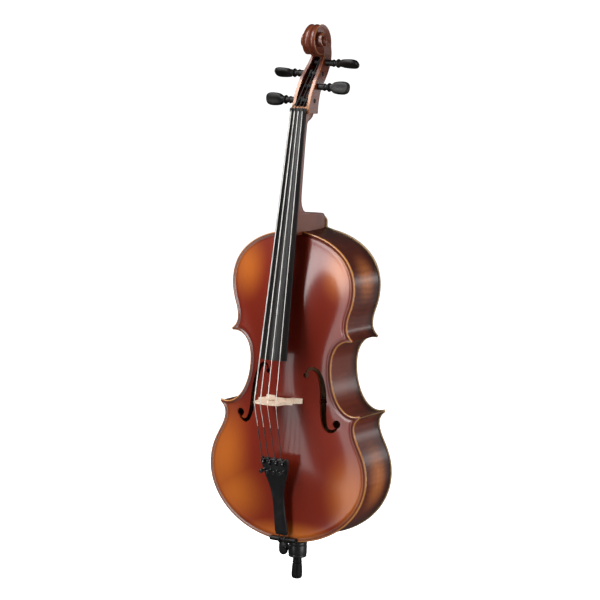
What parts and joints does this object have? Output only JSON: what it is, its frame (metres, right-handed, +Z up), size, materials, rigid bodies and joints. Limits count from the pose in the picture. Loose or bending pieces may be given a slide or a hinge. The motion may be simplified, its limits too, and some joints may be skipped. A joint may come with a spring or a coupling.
{
  "type": "cello",
  "caption": "Half-size cello with carved plates, bent ribs, neck with scroll, friction pegs, bridge, strings, tailpiece with fine tuners and a sliding endpin.",
  "frame": {"origin": "middle of the flat end of the rubber tip, on the endpin's axis", "axes": "+Z up the strings from the endpin to the scroll, +X to the treble side, -Y out of the belly"},
  "size_m": [0.371, 0.2307, 1.1446],
  "materials": {
    "belly_varnish": "glossy red-brown sunburst varnish over fine spruce grain",
    "maple_varnish": "glossy dark red-brown varnish over maple",
    "bare_spruce": "bare sanded spruce",
    "bridge_maple": "bare pale maple with fine flecks",
    "ebony": "satin black ebony",
    "black_plastic": "satin black plastic",
    "gut_nylon": "black nylon cord",
    "string_steel": "fine flat-wound steel",
    "tuner_metal": "dark nickel plate",
    "rod_steel": "polished steel rod",
    "rubber": "matt black rubber"
  },
  "bodies": {
    "root": {"top_plate": "belly_varnish", "back_plate": "maple_varnish", "lower_rib_bass": "maple_varnish", "centre_rib_bass": "maple_varnish", "upper_rib_bass": "maple_varnish", "lower_corner_block_bass": "bare_spruce", "upper_corner_block_bass": "bare_spruce", "lower_rib_treble": "maple_varnish", "centre_rib_treble": "maple_varnish", "upper_rib_treble": "maple_varnish", "lower_corner_block_treble": "bare_spruce", "upper_corner_block_treble": "bare_spruce", "top_block": "bare_spruce", "bottom_block": "bare_spruce", "front_lining": "bare_spruce", "back_lining": "bare_spruce", "bass_bar": "bare_spruce", "sound_post": "bare_spruce", "neck": "maple_varnish", "fingerboard": "ebony", "nut": "ebony", "tailpiece": "black_plastic", "tuner_axle": "tuner_metal", "bridge": "bridge_maple", "saddle": "ebony", "tailgut": "gut_nylon", "endpin_socket": "black_plastic", "string_c": "string_steel", "string_g": "string_steel", "string_d": "string_steel", "string_a": "string_steel"},
    "peg_c": {"peg_c": "ebony", "string_winding_c": "string_steel"},
    "peg_g": {"peg_g": "ebony", "string_winding_g": "string_steel"},
    "peg_d": {"peg_d": "ebony", "string_winding_d": "string_steel"},
    "peg_a": {"peg_a": "ebony", "string_winding_a": "string_steel"},
    "tuner_lever_c": {"tuner_lever_c": "tuner_metal", "ball_end_c": "string_steel"},
    "tuner_shank_c": {"tuner_shank_c": "tuner_metal"},
    "tuner_knob_c": {"tuner_knob_c": "tuner_metal"},
    "tuner_lever_g": {"tuner_lever_g": "tuner_metal", "ball_end_g": "string_steel"},
    "tuner_shank_g": {"tuner_shank_g": "tuner_metal"},
    "tuner_knob_g": {"tuner_knob_g": "tuner_metal"},
    "tuner_lever_d": {"tuner_lever_d": "tuner_metal", "ball_end_d": "string_steel"},
    "tuner_shank_d": {"tuner_shank_d": "tuner_metal"},
    "tuner_knob_d": {"tuner_knob_d": "tuner_metal"},
    "tuner_lever_a": {"tuner_lever_a": "tuner_metal", "ball_end_a": "string_steel"},
    "tuner_shank_a": {"tuner_shank_a": "tuner_metal"},
    "tuner_knob_a": {"tuner_knob_a": "tuner_metal"},
    "endpin": {"endpin_rod": "rod_steel"},
    "rubber_tip": {"rubber_tip": "rubber"},
    "clamp_shank": {"clamp_shank": "tuner_metal"},
    "clamp_head": {"clamp_head": "black_plastic"}
  },
  "joints": [
    {"name": "peg_c_turn", "type": "hinge", "parent": "root", "child": "peg_c", "pos_m": [0, -0.027, 0.991], "axis": [1, 0, 0], "continuous": true},
    {"name": "peg_g_turn", "type": "hinge", "parent": "root", "child": "peg_g", "pos_m": [0, 0.005, 1.0446], "axis": [1, 0, 0], "continuous": true},
    {"name": "peg_d_turn", "type": "hinge", "parent": "root", "child": "peg_d", "pos_m": [0, 0.02, 1.067], "axis": [1, 0, 0], "continuous": true},
    {"name": "peg_a_turn", "type": "hinge", "parent": "root", "child": "peg_a", "pos_m": [0, -0.014, 1.019], "axis": [1, 0, 0], "continuous": true},
    {"name": "tuner_c_advance", "type": "slide", "parent": "root", "child": "tuner_shank_c", "axis": [0, 0.9748, 0.2233], "range_m": [-0.0015, 0.0015]},
    {"name": "tuner_c_turn", "type": "hinge", "parent": "tuner_shank_c", "child": "tuner_knob_c", "pos_m": [-0.0225, -0.11432, 0.24363], "axis": [0, 0.9748, 0.2233], "range_deg": [-1085, 1085]},
    {"name": "tuner_c_rock", "type": "hinge", "parent": "root", "child": "tuner_lever_c", "pos_m": [-0.0225, -0.10546, 0.2634], "axis": [1, 0, 0], "range_deg": [-5.1, 5.1]},
    {"name": "tuner_g_advance", "type": "slide", "parent": "root", "child": "tuner_shank_g", "axis": [0, 0.9748, 0.2233], "range_m": [-0.0015, 0.0015]},
    {"name": "tuner_g_turn", "type": "hinge", "parent": "tuner_shank_g", "child": "tuner_knob_g", "pos_m": [-0.0075, -0.11432, 0.24363], "axis": [0, 0.9748, 0.2233], "range_deg": [-1085, 1085]},
    {"name": "tuner_g_rock", "type": "hinge", "parent": "root", "child": "tuner_lever_g", "pos_m": [-0.0075, -0.10546, 0.2634], "axis": [1, 0, 0], "range_deg": [-5.1, 5.1]},
    {"name": "tuner_d_advance", "type": "slide", "parent": "root", "child": "tuner_shank_d", "axis": [0, 0.9748, 0.2233], "range_m": [-0.0015, 0.0015]},
    {"name": "tuner_d_turn", "type": "hinge", "parent": "tuner_shank_d", "child": "tuner_knob_d", "pos_m": [0.0075, -0.11432, 0.24363], "axis": [0, 0.9748, 0.2233], "range_deg": [-1085, 1085]},
    {"name": "tuner_d_rock", "type": "hinge", "parent": "root", "child": "tuner_lever_d", "pos_m": [0.0075, -0.10546, 0.2634], "axis": [1, 0, 0], "range_deg": [-5.1, 5.1]},
    {"name": "tuner_a_advance", "type": "slide", "parent": "root", "child": "tuner_shank_a", "axis": [0, 0.9748, 0.2233], "range_m": [-0.0015, 0.0015]},
    {"name": "tuner_a_turn", "type": "hinge", "parent": "tuner_shank_a", "child": "tuner_knob_a", "pos_m": [0.0225, -0.11432, 0.24363], "axis": [0, 0.9748, 0.2233], "range_deg": [-1085, 1085]},
    {"name": "tuner_a_rock", "type": "hinge", "parent": "root", "child": "tuner_lever_a", "pos_m": [0.0225, -0.10546, 0.2634], "axis": [1, 0, 0], "range_deg": [-5.1, 5.1]},
    {"name": "endpin_slide", "type": "slide", "parent": "root", "child": "endpin", "axis": [0, 0, -1], "range_m": [0, 0.3]},
    {"name": "rubber_tip_pull", "type": "slide", "parent": "endpin", "child": "rubber_tip", "axis": [0, 0, -1], "range_m": [0, 0.04]},
    {"name": "clamp_advance", "type": "slide", "parent": "root", "child": "clamp_shank", "axis": [-1, 0, 0], "range_m": [0, 0.002]},
    {"name": "clamp_turn", "type": "hinge", "parent": "clamp_shank", "child": "clamp_head", "pos_m": [-0.034, 0, 0.062], "axis": [-1, 0, 0], "range_deg": [0, 722]}
  ],
  "couplings": [
    {"joint": "tuner_c_turn", "follows": "tuner_c_advance", "rad_per_m": 12566},
    {"joint": "tuner_c_rock", "follows": "tuner_c_advance", "rad_per_m": 58.82},
    {"joint": "tuner_g_turn", "follows": "tuner_g_advance", "rad_per_m": 12566},
    {"joint": "tuner_g_rock", "follows": "tuner_g_advance", "rad_per_m": 58.82},
    {"joint": "tuner_d_turn", "follows": "tuner_d_advance", "rad_per_m": 12566},
    {"joint": "tuner_d_rock", "follows": "tuner_d_advance", "rad_per_m": 58.82},
    {"joint": "tuner_a_turn", "follows": "tuner_a_advance", "rad_per_m": 12566},
    {"joint": "tuner_a_rock", "follows": "tuner_a_advance", "rad_per_m": 58.82},
    {"joint": "clamp_turn", "follows": "clamp_advance", "rad_per_m": 6283.2}
  ]
}
